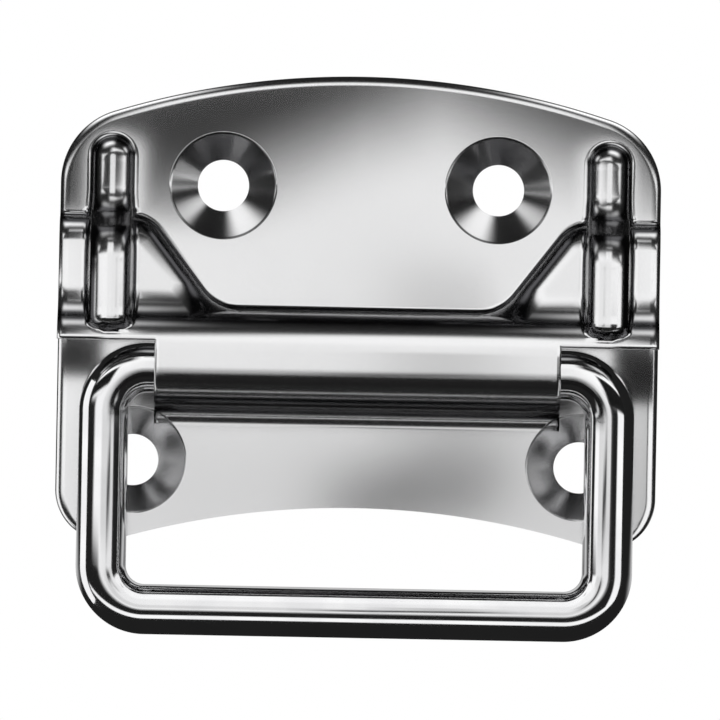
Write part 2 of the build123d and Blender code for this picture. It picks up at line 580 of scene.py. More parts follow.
class RoundedPath:
    """Straight runs joined by round corners, in a plane. What lies to the right of its course is inside."""

    def __init__(self, corners: Sequence[tuple[float, float]], radii: Sequence[float]) -> None:
        """Works out the straight runs and the bends.

        Args:
            corners: the path's points in order.
            radii: the radius at each point between the first and the last.
        """
        self.corners = [np.array(corner, float) for corner in corners]
        self.legs: list[tuple[Array, Array]] = []
        self.bends: list[tuple[Array, float, float, Array, Array]] = []
        start = self.corners[0]
        for before, corner, after, radius in zip(self.corners, self.corners[1:], self.corners[2:], radii):
            come, leave = unit(corner - before), unit(after - corner)
            turn = math.atan2(come[0] * leave[1] - come[1] * leave[0], float(come @ leave))
            reach = radius * math.tan(abs(turn) / 2)
            side = math.copysign(1.0, turn)
            first, last = corner - come * reach, corner + leave * reach
            self.legs.append((start, first))
            self.bends.append((first - side * radius * right_of(come), radius, side, first, last))
            start = last
        self.legs.append((start, self.corners[-1]))

    def shifted(self, depth: float) -> "RoundedPath":
        """Moves the path inwards.

        Args:
            depth: how far.

        Returns:
            The new path.
        """
        lines = []
        for start, end in zip(self.corners, self.corners[1:]):
            way = unit(end - start)
            lines.append((start + right_of(way) * depth, way))
        moved = [lines[0][0]]
        for (first, along), (second, across) in zip(lines, lines[1:]):
            matrix = np.array([along, -across]).T
            moved.append(first + along * np.linalg.solve(matrix, second - first)[0])
        moved.append(self.corners[-1] + lines[-1][0] - self.corners[-2])
        return RoundedPath(moved, [radius + side * depth for _, radius, side, _, _ in self.bends])

    def level(self, u: Array) -> Array:
        """Second coordinate at a first one, on a path that runs from left to right.

        Args:
            u: the first coordinate.

        Returns:
            The second one.
        """
        value = np.full(np.shape(u), self.corners[-1][1], float)
        for start, end in self.legs:
            share = (u - start[0]) / (end[0] - start[0])
            value = np.where((share >= 0) & (share <= 1), start[1] + share * (end[1] - start[1]), value)
        for centre, radius, side, start, end in self.bends:
            bow = centre[1] - side * np.sqrt(np.maximum(radius**2 - (u - centre[0]) ** 2, 0.0))
            value = np.where((u >= start[0]) & (u <= end[0]), bow, value)
        return value

    def inside(self, u: Array, v: Array) -> Array:
        """Distance from the path.

        Args:
            u: first coordinates.
            v: second coordinates.

        Returns:
            The distances, positive inside.
        """
        best = np.full(np.shape(u), 1e9)
        for start, end in self.legs:
            length = float(np.linalg.norm(end - start))
            way = (end - start) / length
            along = (u - start[0]) * way[0] + (v - start[1]) * way[1]
            gap = (u - start[0]) * way[1] - (v - start[1]) * way[0]
            found = (along >= -TINY) & (along <= length + TINY) & (np.abs(gap) < np.abs(best))
            best = np.where(found, gap, best)
        for centre, radius, side, start, end in self.bends:
            middle = unit((start + end) / 2 - centre)
            half = float((start - centre) @ middle) / radius
            out = np.hypot(u - centre[0], v - centre[1])
            aim = ((u - centre[0]) * middle[0] + (v - centre[1]) * middle[1]) / np.maximum(out, TINY)
            gap = side * (out - radius)
            best = np.where((aim >= half - TINY) & (np.abs(gap) < np.abs(best)), gap, best)
        return best

    def points(self, step: float, shift: float = 0.0) -> Array:
        """Points along the path.

        Args:
            step: about how far apart they are.
            shift: how far inside the path they lie.

        Returns:
            The points, one per row.
        """
        rows: list[Array] = []
        for number, (start, end) in enumerate(self.legs):
            count = max(2, int(np.linalg.norm(end - start) / step) + 1)
            share = np.linspace(0, 1, count)[:, None]
            rows.append(start + share * (end - start) + right_of(unit(end - start)) * shift)
            if number < len(self.bends):
                centre, radius, side, first, last = self.bends[number]
                angles = [math.atan2(*(point - centre)[::-1]) for point in (first, last)]
                sweep = (angles[1] - angles[0] + math.pi) % (2 * math.pi) - math.pi
                count = max(3, int(abs(sweep) * radius / step) + 2)
                angle = angles[0] + np.linspace(0, 1, count)[1:-1] * sweep
                rows.append(circle_points(centre, radius + side * shift, angle))
        return np.concatenate(rows)


@dataclass
class SheetForm:
    """Sizes and heights of the pressed sheet, in millimetres: x to the right, z up, height to the front."""

    sheet: float = 2.0
    half_width: float = 48.0
    top: float = 17.8
    bottom: float = -51.2
    top_arc: float = 130.0
    bottom_arc: float = 132.0
    top_corner: float = 12.0
    bottom_corner: float = 8.0
    rim_width: float = 1.6
    rim_depth: float = 1.0
    rim_fade: float = 6.0
    channel_z: float = -27.8
    channel_flat: float = 1.25
    channel_rise: float = 10.6
    channel_side: Shoulder = Shoulder(6.3, 1.0)
    channel_foot: Shoulder = Shoulder(6.3, 3.0)
    hood_low: tuple[float, float] = (22.6, -20.0)
    hood_high: tuple[float, float] = (33.9, -5.3)
    hood_end: float = 60.0
    hood_bends: tuple[float, float] = (8.0, 6.0)
    hood_side: Shoulder = Shoulder(4.0, 1.0)
    hood_gap: float = 3.95
    terrace: float = 6.6
    sweep_radius: float = 6.5
    sweep_steps: int = 8
    rib_x: float = 39.7
    rib_flat: float = 0.2
    rib_head: float = 4.3
    rib_side: Shoulder = Shoulder(3.1, 1.0)
    rib_low: float = 5.0
    rib_high: float = 14.8
    rib_foot: tuple[float, float] = (-50.0, -33.69)
    rib_levels: tuple[float, float, float, float] = (-22.0, -8.2, -3.6, 30.0)
    rib_bends: tuple[float, float, float] = (2.3, 6.0, 4.5)
    rib_ease: float = 0.5
    slot_x: float = 32.4
    ledge_z: float = -25.0
    cut_width: float = 0.8
    cut_depth: float = 0.55
    hole_radius: float = 4.1
    mouth_radius: float = 8.55
    mouth_slope: float = 5.0
    mouth_soft: float = 0.12
    land: float = 0.4
    holes: tuple[tuple[float, float], ...] = ((22.0, 0.0), (35.7, -44.1))

    def __post_init__(self) -> None:
        """Works out the paths and places that follow from the sizes."""
        hood = [(0.0, self.hood_low[1]), self.hood_low, self.hood_high, (self.hood_end, self.hood_high[1])]
        self.hood_plan = RoundedPath(hood, self.hood_bends)
        self.hood_top = self.hood_high[1] - self.hood_gap
        heights = (self.rib_high, self.rib_high, self.rib_low, self.rib_low)
        front = RoundedPath([self.rib_foot, *zip(self.rib_levels, heights)], self.rib_bends)
        self.crest = {Skin.FRONT: front, Skin.BACK: front.shifted(self.sheet)}
        foot = self.channel_foot.stations(np.array([self.channel_rise]))[3]
        self.channel_low = self.channel_z - self.channel_flat
        self.channel_high = self.channel_z + self.channel_flat
        self.slot_foot = self.channel_low - float(foot[0])
        hollow = self.channel_foot.on(Skin.BACK).foot_radius
        self.meeting_z = self.slot_foot + math.sqrt(self.sheet * (2 * hollow - self.sheet))
        self.top_centre = np.array([0.0, self.top - self.top_arc])
        self.bottom_centre = np.array([0.0, self.bottom - self.bottom_arc])
        corner_x = self.half_width - self.top_corner
        corner_z = self.top_centre[1] + math.sqrt((self.top_arc - self.top_corner) ** 2 - corner_x**2)
        self.top_corner_centre = np.array([corner_x, corner_z])
        self.top_lean = math.atan2(corner_z - self.top_centre[1], corner_x)
        corner_x = self.half_width - self.bottom_corner
        reach = self.bottom_arc + self.bottom_corner
        corner_z = self.bottom_centre[1] + math.sqrt(reach**2 - corner_x**2)
        self.bottom_corner_centre = np.array([corner_x, corner_z])
        self.bottom_lean = math.atan2(self.bottom_centre[1] - corner_z, -corner_x)

    def inside_outline(self, x: Array, z: Array) -> Array:
        """Distance inside the plate's outline.

        Args:
            x: places to the right.
            z: places upwards.

        Returns:
            The distance.
        """
        u = np.abs(x)
        top = self.top_arc - np.hypot(u, z - self.top_centre[1])
        bottom = np.hypot(u, z - self.bottom_centre[1]) - self.bottom_arc
        best = np.minimum(np.minimum(self.half_width - u, top), bottom)
        for (cx, cz), radius, low, high in (
            (self.top_corner_centre, self.top_corner, 0.0, self.top_lean),
            (self.bottom_corner_centre, self.bottom_corner, self.bottom_lean, 0.0),
        ):
            angle = np.arctan2(z - cz, u - cx)
            past = (angle >= low) & (angle <= high)
            best = np.where(past, radius - np.hypot(u - cx, z - cz), best)
        return best

    def rim_share(self, x: Array, z: Array) -> Array:
        """How much of the rolled rim there is: it fades out round the lower corners."""
        centre_x, centre_z = self.bottom_corner_centre
        return np.where(z < centre_z, np.clip((np.abs(x) - centre_x) / self.rim_fade, 0.0, 1.0), 1.0)

    def beside_cut(self, x: Array, z: Array) -> Array:
        """Distance from the ledge and the slit, on the pressed side."""
        return np.hypot(np.maximum(0.0, self.slot_x - np.abs(x)), np.maximum(0.0, z - self.ledge_z))

    def without_hoods(self, z: Array, skin: Skin) -> Array:
        """Height of the flat sheet and the channel over the back plane.

        Args:
            z: places upwards.
            skin: the face.

        Returns:
            The height.
        """
        run = np.maximum(0.0, np.abs(z - self.channel_z) - self.channel_flat)
        rise = np.full(np.shape(z), self.channel_rise)
        upper, lower = (side.on(skin).height(run, rise) for side in (self.channel_side, self.channel_foot))
        return self.sheet - skin.value + np.where(z > self.channel_z, upper, lower)

    def sweep_ends(self, skin: Skin) -> tuple[float, float]:
        """Finds the ends of a hood's sweep.

        Args:
            skin: the face.

        Returns:
            Where it touches the channel's shoulder, and where it leaves the terrace.
        """
        crown = self.channel_side.crown_radius
        shoulder = self.sheet + self.channel_rise - crown
        reach = crown + self.sweep_radius
        rise = self.terrace + self.sweep_radius - shoulder
        run = math.sqrt(reach**2 - rise**2)
        return self.channel_high + (crown - skin.value) * run / reach, self.channel_high + run

    def sweep_levels(self, skin: Skin) -> Array:
        """Levels of the lines that a mesh needs across a sweep.

        Args:
            skin: the face.

        Returns:
            The levels.
        """
        touch_z, sweep_z = self.sweep_ends(skin)
        reach = self.sweep_radius + skin.value
        turn = math.asin((sweep_z - touch_z) / reach)
        return sweep_z - reach * np.sin(np.linspace(0, turn, self.sweep_steps + 1))

    def hood_extra(self, z: Array, skin: Skin) -> tuple[Array, Array]:
        """Heights at a hood's middle: the terrace and the sweep up to the channel.

        Args:
            z: places upwards.
            skin: the face.

        Returns:
            The height of the ground, and what the hood adds to it.
        """
        low = self.without_hoods(z, skin)
        terrace = self.terrace - skin.value
        sweep = self.sweep_radius + skin.value
        touch_z, sweep_z = self.sweep_ends(skin)
        bow = terrace + sweep - np.sqrt(np.maximum(sweep**2 - np.minimum(sweep_z - z, sweep) ** 2, 0.0))
        swept = np.where(z >= sweep_z, terrace, np.where(z >= touch_z, bow, low))
        return low, np.maximum(0.0, swept - low)

    def ground(self, x: Array, z: Array, skin: Skin) -> Array:
        """Height of the sheet without its ribs.

        Args:
            x: places to the right.
            z: places upwards.
            skin: the face.

        Returns:
            The height.
        """
        low, extra = self.hood_extra(z, skin)
        run = np.maximum(0.0, self.hood_gap - self.hood_plan.inside(np.abs(x), z))
        return low + self.hood_side.on(skin).height(run, extra)

    def rib_rise(self, z: Array, ground: Array, skin: Skin) -> Array:
        """How far a rib's crest stands over the ground, easing in where it starts.

        Args:
            z: places upwards.
            ground: height of the ground there.
            skin: the face.

        Returns:
            The rise.
        """
        rise = self.crest[skin].level(z) - ground
        ease = self.rib_ease
        bow = (rise + ease) ** 2 / (4 * ease)
        return np.where(rise > ease, rise, np.where(rise > -ease, bow, 0.0))

    def height(self, x: Array, z: Array, skin: Skin) -> Array:
        """Height of the pressed sheet over its back plane, before its edges are cut and rounded.

        Args:
            x: places to the right.
            z: places upwards.
            skin: the face.

        Returns:
            The height.
        """
        ground = self.ground(x, z, skin)
        away = np.hypot(np.abs(x) - self.rib_x, np.maximum(0.0, z - self.rib_head))
        run = np.maximum(0.0, away - self.rib_flat)
        return ground + self.rib_side.on(skin).height(run, self.rib_rise(z, ground, skin))

    def bored(self, x: Array, z: Array, height: Array, skin: Skin) -> Array:
        """Cuts the countersinks into the front face.

        Args:
            x: places to the right.
            z: places upwards.
            height: the height so far.
            skin: the face.

        Returns:
            The height with the cones.
        """
        if skin is Skin.BACK:
            return height
        pitch = (self.sheet - self.land) / (self.mouth_radius - self.hole_radius)
        soft = self.mouth_soft
        for hole_x, hole_z in self.holes:
            out = np.hypot(np.abs(x) - hole_x, z - hole_z)
            cone = self.land + (out - self.hole_radius) * pitch
            cone = np.maximum(cone, self.sheet + (out - self.mouth_radius) * self.mouth_slope)
            blend = np.maximum(0.0, soft - np.abs(height - cone)) ** 2 / (4 * soft)
            height = np.minimum(height, cone) - blend
        return height


@dataclass
class MountingPlate:
    """The pressed plate: both faces of the sheet over one outline, joined by the walls of its cut edges."""

    form: SheetForm
    rim_steps: int = 9
    cut_steps: int = 6
    hole_sides: int = 72
    level_gap: float = 0.04
    clear: float = 0.03
    weld_per_mm: float = 20000.0
    rib_reach: float = 4.6
    rib_fade: float = 1.5
    countersink_shading: float = 2.2
    rib_softness: float = 1.3
    # Steepness given to the walls of the cut edges, which sets how much shade is painted on them.
    cut_steepness: float = 0.25
    # Extra steepness on slanting walls away from the ribs, so that they take more painted shade.
    slant_painted_shade: float = 0.8

    def spaced(self, levels: Sequence[float], fixed: set[float]) -> list[float]:
        """Sorts levels and drops those that crowd their neighbours.

        Args:
            levels: the levels.
            fixed: levels that always stay.

        Returns:
            The levels that stay, from low to high.
        """
        kept: list[float] = []
        for level in sorted(set(levels)):
            if not kept or level - kept[-1] >= self.level_gap:
                kept.append(level)
            elif level in fixed:
                kept[-1] = level
        return kept

    def side_levels(self) -> list[float]:
        """Finds the heights along z at which the right edge of the plate needs a point.

        Returns:
            The heights, from low to high.
        """
        form = self.form
        low, high = float(form.bottom_corner_centre[1]), float(form.top_corner_centre[1])
        levels = [form.ledge_z, high, low, *np.arange(low, high, 1.6)]
        for skin in Skin:
            hood = form.hood_side.level_runs(skin, form.terrace - form.sheet, 6, 5)
            channel = form.channel_side.level_runs(skin, form.channel_rise, 12, 5)
            levels += [form.hood_top + run for run in hood] + [form.channel_high + run for run in channel]
            levels += [float(z) for z in form.sweep_levels(skin)]
        return self.spaced([z for z in levels if low <= z <= high], {form.ledge_z, low, high})

    def outline(self) -> tuple[Array, Array]:
        """The right half of the outline, from the top's middle round to the bottom's middle.

        Returns:
            Its points and, at each, the direction that leads inwards.
        """
        form = self.form
        side = [(form.half_width, level, -1.0, 0.0) for level in reversed(self.side_levels())]
        rows = [
            *self.arc(form.top_centre, form.top_arc, math.pi / 2, form.top_lean, 1.0, -1.0),
            *self.arc(form.top_corner_centre, form.top_corner, form.top_lean, 0.0, 0.5, -1.0),
            *side,
            *self.arc(form.bottom_corner_centre, form.bottom_corner, 0.0, form.bottom_lean, 0.4, -1.0),
            *self.arc(form.bottom_centre, form.bottom_arc, form.bottom_lean + math.pi, math.pi / 2, 1.0, 1.0),
        ]
        kept = [rows[0]]
        for row in rows[1:]:
            if math.hypot(row[0] - kept[-1][0], row[1] - kept[-1][1]) > 1e-6:
                kept.append(row)
        whole = np.array(kept)
        whole[0, 0] = whole[-1, 0] = 0.0
        return whole[:, :2], whole[:, 2:]

    @staticmethod
    def arc(
        centre: Array, radius: float, start: float, end: float, step: float, side: float
    ) -> list[tuple[float, float, float, float]]:
        """One round stretch of the outline.

        Args:
            centre: its centre.
            radius: its radius.
            start: its first angle.
            end: its last angle.
            step: about how far apart its points are.
            side: one where the plate lies outside the circle, or else minus one.

        Returns:
            Its points, each with the direction that leads inwards.
        """
        rows = []
        for angle in np.linspace(start, end, max(3, int(abs(end - start) * radius / step) + 1)):
            c, s = math.cos(angle), math.sin(angle)
            rows.append((centre[0] + radius * c, centre[1] + radius * s, side * c, side * s))
        return rows

    def cut_line(self) -> Array:
        """The ledge over the arm's slot and the slit beside it.

        Returns:
            Its points, from the side inwards and down.
        """
        form = self.form
        inset = [form.half_width - d for d in quarter_steps(form.rim_width, self.rim_steps)]
        along = list(np.arange(inset[-1] - 1.2, form.slot_x + 0.5, -1.2))
        ledge = [(x, form.ledge_z) for x in inset + along]
        levels = [form.ledge_z, form.slot_foot, form.meeting_z]
        for skin in Skin:
            foot = form.channel_foot.level_runs(skin, form.channel_rise, 12, 8)
            side = form.channel_side.level_runs(skin, form.channel_rise, 12, 5)
            levels += [form.channel_low - run for run in foot] + [form.channel_high + run for run in side]
        inner = [z for z in levels if form.slot_foot <= z <= form.ledge_z]
        slit = self.spaced(inner, {form.ledge_z, form.slot_foot, form.meeting_z})
        return np.array(ledge + [(form.slot_x, z) for z in reversed(slit)])

    def lines(self, skin: Skin) -> list[Array]:
        """Lines that the mesh of one face has to follow, on the right half.

        Args:
            skin: the face.

        Returns:
            The lines, each with its points in rows.
        """
        lines = self.channel_lines(skin) + self.hood_lines(skin) + self.rib_lines(skin)
        if skin is Skin.FRONT:
            lines += self.edge_lines() + self.mouth_lines()
        return lines

    def channel_lines(self, skin: Skin) -> list[Array]:
        """Level lines along the channel and across the sweep of the hood.

        Args:
            skin: the face.

        Returns:
            The lines.
        """
        form = self.form
        hood_start = 27.0
        spans = []
        for run in form.channel_side.level_runs(skin, form.channel_rise, 14, 6):
            upper = form.channel_high + run
            reach = form.half_width if upper > form.ledge_z else form.slot_x
            spans.append((upper, 0.0, hood_start if upper > form.sweep_ends(skin)[0] else reach, 1.0, 1.5))
        for run in form.channel_foot.level_runs(skin, form.channel_rise, 14, 9):
            spans.append((form.channel_low - run, 0.0, form.slot_x, 1.0, 1.5))
        spans = [span for span in spans if abs(span[0] - form.ledge_z) > 0.02]
        (low_x, low_z), (high_x, high_z) = form.hood_low, form.hood_high
        for z in form.sweep_levels(skin):
            near = low_x + (z - low_z) * ((high_x - low_x) / (high_z - low_z)) + 0.4
            spans.append((z, near, form.half_width, 0.8, 1.2))
        lines = []
        for z, near, far, short, step in spans:
            lines.append(table(np.append(np.arange(near, far - short, step), far - self.clear), z))
        return lines

    def hood_lines(self, skin: Skin) -> list[Array]:
        """Lines along the hood's wall, from its shoulder to its foot.

        Args:
            skin: the face.

        Returns:
            The lines.
        """
        form = self.form
        step, first_x, least_rise = 0.45, 15.0, 0.15
        edge = form.half_width - self.clear
        base = form.hood_plan.points(step)
        inner = form.hood_plan.points(step, 1.0) - base
        keep = (base[:, 0] > first_x) & (base[:, 0] < edge)
        base = np.concatenate([base[keep], [[edge, form.hood_high[1]]]])
        inner = np.concatenate([inner[keep], [[0.0, -1.0]]])
        _, extra = form.hood_extra(base[:, 1], skin)
        runs = form.hood_side.on(skin).runs(extra, 7, 6)
        return [(base + inner * (form.hood_gap - run)[:, None])[extra > least_rise] for run in runs]

    def rib_lines(self, skin: Skin) -> list[Array]:
        """Lines along the rib's crest and sides, and round its upper end.

        Args:
            skin: the face.

        Returns:
            The lines.
        """
        form = self.form
        least_rise = 0.1
        hood = form.hood_side.level_runs(skin, form.terrace - form.sheet, 7, 6)
        levels = [form.hood_top + run for run in hood]
        levels += [*np.arange(form.ledge_z + 0.3, form.rib_head, 0.5), form.rib_head]
        z = np.array(self.spaced(levels, {form.rib_head}))
        x = np.full_like(z, form.rib_x)
        rise = form.rib_rise(z, form.ground(x, z, skin), skin)
        lines = [table(x, z)]
        for run in form.rib_side.on(skin).runs(rise, 8, 5):
            for side in (-1.0, 1.0):
                lines.append(table(form.rib_x + side * (form.rib_flat + run), z)[rise > least_rise])
        angle = np.radians(np.arange(0, 181, 7.5))
        for run in form.rib_side.on(skin).runs(rise[-1:], 8, 5):
            lines.append(circle_points((form.rib_x, form.rib_head), form.rib_flat + float(run[0]), angle))
        return lines

    def edge_lines(self) -> list[Array]:
        """Lines round the rounded rim, and along the ledge and the slit.

        Returns:
            The lines.
        """
        form = self.form
        points, inward = self.outline()
        lines = []
        for inset in quarter_steps(form.rim_width, self.rim_steps)[1:]:
            ring = points + inward * inset
            ring[0, 0] = ring[-1, 0] = 0.0
            lines.append(ring)
        angle = np.radians(np.arange(90, 181, 15))
        xs = np.arange(form.half_width - self.clear, form.slot_x + 0.6, -1.2)
        zs = np.arange(form.ledge_z - 0.5, form.slot_foot + 0.6, -0.6)
        for gap in quarter_steps(form.cut_width, self.cut_steps)[1:]:
            turn = circle_points((form.slot_x, form.ledge_z), gap, angle)
            lines.append(np.concatenate([table(xs, form.ledge_z + gap), turn, table(form.slot_x - gap, zs)]))
        return lines

    def mouth_lines(self) -> list[Array]:
        """Rings round the mouths of the screw holes, broken where they meet the slit.

        Returns:
            The rings and their pieces.
        """
        form = self.form
        angle = np.radians(np.arange(0, 361, 3.75))
        lines = []
        for centre in form.holes:
            for radius in (5.2, 6.4, 7.6, *(form.mouth_radius + np.linspace(-0.4, 0.4, 7))):
                ring = circle_points(centre, radius, angle)
                shown = (np.abs(ring[:, 0] - form.slot_x) >= 0.3) | (ring[:, 1] <= form.slot_foot - 0.1)
                marks = np.flatnonzero(np.diff(np.concatenate([[0], shown.astype(int), [0]])))
                lines += [ring[a:b] for a, b in zip(marks[::2], marks[1::2]) if b - a > 1]
        return lines

    def triangulate(self, skin: Skin) -> tuple[Array, Array, dict[str, list[list[int]]]]:
        """Triangulates the right half of one face, in plan.

        Args:
            skin: the face.

        Returns:
            The points, the triangles, and the point numbers along each boundary.
        """
        form = self.form
        angle = np.linspace(0, 2 * math.pi, self.hole_sides + 1)
        chains: list[tuple[str, Array]] = [("outline", self.outline()[0]), ("cut", self.cut_line())]
        chains += [("hole", circle_points(hole, form.hole_radius, angle)) for hole in form.holes]
        chains.append(("", np.array([[0.0, form.top], [0.0, form.bottom]])))
        chains += [("", line) for line in self.lines(skin) if len(line) > 1]
        points: list[Vector] = []
        edges: list[tuple[int, int]] = []
        starts: list[tuple[str, int, int]] = []
        for name, line in chains:
            first = len(points)
            points += [Vector((float(x), float(z))) for x, z in line]
            edges += [(n, n + 1) for n in range(first, first + len(line) - 1)]
            starts.append((name, first, len(line)))
        found, _, triangles, origins, *_ = delaunay_2d_cdt(points, edges, [], 0, 1e-6)
        where = {old: number for number, source in enumerate(origins) for old in source}
        ways: dict[str, list[list[int]]] = {"outline": [], "cut": [], "hole": []}
        for name, first, count in starts:
            if name:
                ways[name].append([where[n] for n in range(first, first + count)])
        plan = np.array([(point.x, point.y) for point in found])
        corners = np.array([tuple(triangle) for triangle in triangles])
        middle = plan[corners].mean(axis=1)
        inside = form.inside_outline(middle[:, 0], middle[:, 1]) > 0
        for hole_x, hole_z in form.holes:
            inside &= np.hypot(middle[:, 0] - hole_x, middle[:, 1] - hole_z) > form.hole_radius * 0.9995
        return plan, corners[inside], ways

    def surface(self, x: Array, z: Array, skin: Skin, strip: Array) -> tuple[Array, Array, Array]:
        """Heights and outward normals on one face of the sheet.

        Args:
            x: places to the right.
            z: places upwards.
            skin: the face.
            strip: true on the flat strips behind the arms.

        Returns:
            The heights, the normals as rows of x, height and z, and how steep the pressing is, raised on slanting
            walls, which sets how much shade is painted there.
        """
        form = self.form
        wall_step, cone_step, rib_start, slit_fade = 0.25, 0.1, 3.5, 2.0

        def pressed(u: Array, v: Array) -> Array:
            """Height without the countersinks."""
            return np.where(strip, form.sheet - skin.value, form.height(u, v, skin))

        def base(u: Array, v: Array) -> Array:
            """Height with the countersinks."""
            return form.bored(u, v, pressed(u, v), skin)

        def slope(field: Field, step: float = 0.01) -> tuple[Array, Array]:
            """Slopes to the right and upwards."""
            along_x = (field(x + step, z) - field(x - step, z)) / (2 * step)
            return along_x, (field(x, z + step) - field(x, z - step)) / (2 * step)

        height = base(x, z)
        wall_x, wall_z = slope(pressed, wall_step)
        beside = np.abs(np.abs(x) - form.rib_x)
        on_rib = np.clip((self.rib_reach - beside) / self.rib_fade, 0.0, 1.0)
        on_rib = on_rib * (z > form.ledge_z + rib_start) * (z < form.rib_head)
        off_rib = np.clip((beside - self.rib_reach) / self.rib_fade, 0.0, 1.0)
        wall_z = wall_z + on_rib * (slope(pressed, self.rib_softness)[1] - wall_z)
        # Steepness of the pressing, which sets the painted shade on walls; slanting walls away from the ribs get
        # more of it.
        steep = 1.0 - 1.0 / np.sqrt(1.0 + wall_x**2 + wall_z**2)
        slant = 2.0 * np.abs(wall_x * wall_z) / (wall_x**2 + wall_z**2 + TINY)
        steep = steep * (1.0 + self.slant_painted_shade * slant * off_rib)
        slope_x, slope_z = slope(base, cone_step)
        slope_x = wall_x + (slope_x - wall_x) * self.countersink_shading
        slope_z = wall_z + (slope_z - wall_z) * self.countersink_shading
        if skin is Skin.FRONT:
            fade = np.clip((z - form.slot_foot) / slit_fade, 0.0, 1.0) * np.where(strip, 0.0, 1.0)
            share = form.rim_share(x, z)
            for gap, width, depth in (
                (form.inside_outline, form.rim_width * share, form.rim_depth * share),
                (form.beside_cut, form.cut_width * fade, form.cut_depth * fade),
            ):
                inside = gap(x, z)
                height = height - edge_drop(inside, width, depth)
                lead_x, lead_z = slope(gap)
                rise = edge_slope(inside, width, depth) / np.maximum(np.hypot(lead_x, lead_z), 1e-6)
                slope_x = slope_x + rise * lead_x
                slope_z = slope_z + rise * lead_z
        normals = table(-slope_x, 1.0, -slope_z)
        normals /= np.linalg.norm(normals, axis=1)[:, None]
        return height, normals if skin is Skin.FRONT else -normals, steep

    def half(self) -> tuple[Array, Array, Array]:
        """The right half of the plate.

        Returns:
            Its triangles' corners, the normal at each, both as x, height and z, and the steepness at each.
        """
        form = self.form
        solid: list[Array] = []
        shading: list[Array] = []
        walls: list[Array] = []
        edges: dict[tuple[str, int], dict[Skin, Array]] = {}
        ways: dict[tuple[str, int], Array] = {}
        for skin in Skin:
            plan, corners, chains = self.triangulate(skin)
            x, z = plan[:, 0], plan[:, 1]
            on_cut = np.zeros(len(plan), bool)
            on_cut[chains["cut"][0]] = True
            beyond = (x > form.slot_x) & (z < form.ledge_z) & ~on_cut
            middle = plan[corners].mean(axis=1)
            strip = (middle[:, 0] > form.slot_x) & (middle[:, 1] < form.ledge_z)
            levels = []
            for flat, chosen in ((beyond, ~strip), (beyond | on_cut, strip)):
                heights, normals, steep = self.surface(x, z, skin, flat)
                order = corners[chosen] if skin is Skin.FRONT else corners[chosen][:, ::-1]
                solid.append(table(x, heights, z)[order])
                shading.append(normals[order])
                walls.append(steep[order])
                levels.append(heights)
            for name, found in chains.items():
                for number, chain in enumerate(found):
                    ways.setdefault((name, number), plan[chain])
                    edges.setdefault((name, number), {})[skin] = np.stack([row[chain] for row in levels])
        for (name, number), heights in edges.items():
            for band, normals in self.walls(name, ways[name, number], heights):
                solid.append(band)
                shading.append(normals)
                # Cut walls take a fixed steepness, and so some painted shade.
                walls.append(np.full(band.shape[:2], self.cut_steepness))
        return np.concatenate(solid), np.concatenate(shading), np.concatenate(walls)

    def walls(self, name: str, way: Array, levels: dict[Skin, Array]) -> list[tuple[Array, Array]]:
        """Joins the two faces of the sheet along one boundary.

        Args:
            name: which boundary it is.
            way: its points in plan.
            levels: heights on each face, first on the pressed side and then on the flat strip.

        Returns:
            Blocks of triangles with their normals.
        """
        (front, front_flat), (back, back_flat) = levels[Skin.FRONT], levels[Skin.BACK]
        ahead = np.diff(way, axis=0)
        ahead /= np.linalg.norm(ahead, axis=1)[:, None]
        side = table(-ahead[:, 1], ahead[:, 0])
        bend = np.concatenate([side[:1], side[:-1] + side[1:], side[-1:]])
        bend /= np.linalg.norm(bend, axis=1)[:, None]
        sharp = np.concatenate([[1.0], (side[:-1] * side[1:]).sum(axis=1), [1.0]]) < 0.9
        starts = np.where(sharp[:-1, None], side, bend[:-1])
        ends = np.where(sharp[1:, None], side, bend[1:])
        if name == "hole":
            return [self.band(way, front, back, starts, ends)]
        if name == "cut":
            low, high = np.maximum(back, front_flat), np.minimum(front_flat, back)
            turned = (way, high, back_flat, -ends, -starts)
            return [self.band(way, front, low, starts, ends), self.band(*(part[::-1] for part in turned))]
        off_ledge = np.abs(way[:, 1] - self.form.ledge_z)
        off_side = np.abs(way[:, 0] - self.form.half_width)
        rank = int(np.argmin(off_ledge + 10.0 * off_side))
        above, runs, below = slice(rank + 1), slice(rank), slice(rank, None)
        return [
            self.band(way[above], front[above], back[above], starts[runs], ends[runs]),
            self.band(way[below], front_flat[below], back_flat[below], starts[below], ends[below]),
        ]

    @staticmethod
    def band(way: Array, top: Array, foot: Array, starts: Array, ends: Array) -> tuple[Array, Array]:
        """A wall along a line, with what it bounds on the right of its course.

        Args:
            way: points in plan.
            top: heights of the wall's front edge.
            foot: heights of its back edge.
            starts: outward directions at the start of each run.
            ends: outward directions at the end of each run.

        Returns:
            Its triangles and their normals.
        """
        front, back = (table(way[:, 0], level, way[:, 1]) for level in (top, foot))
        start, end = (table(aim[:, 0], 0.0, aim[:, 1]) for aim in (starts, ends))
        places = ((front[:-1], front[1:], back[1:]), (front[:-1], back[1:], back[:-1]))
        aims = ((start, end, end), (start, end, start))
        triangles, normals = (
            np.concatenate([np.stack(corners, axis=1) for corners in both]) for both in (places, aims)
        )
        return triangles, normals

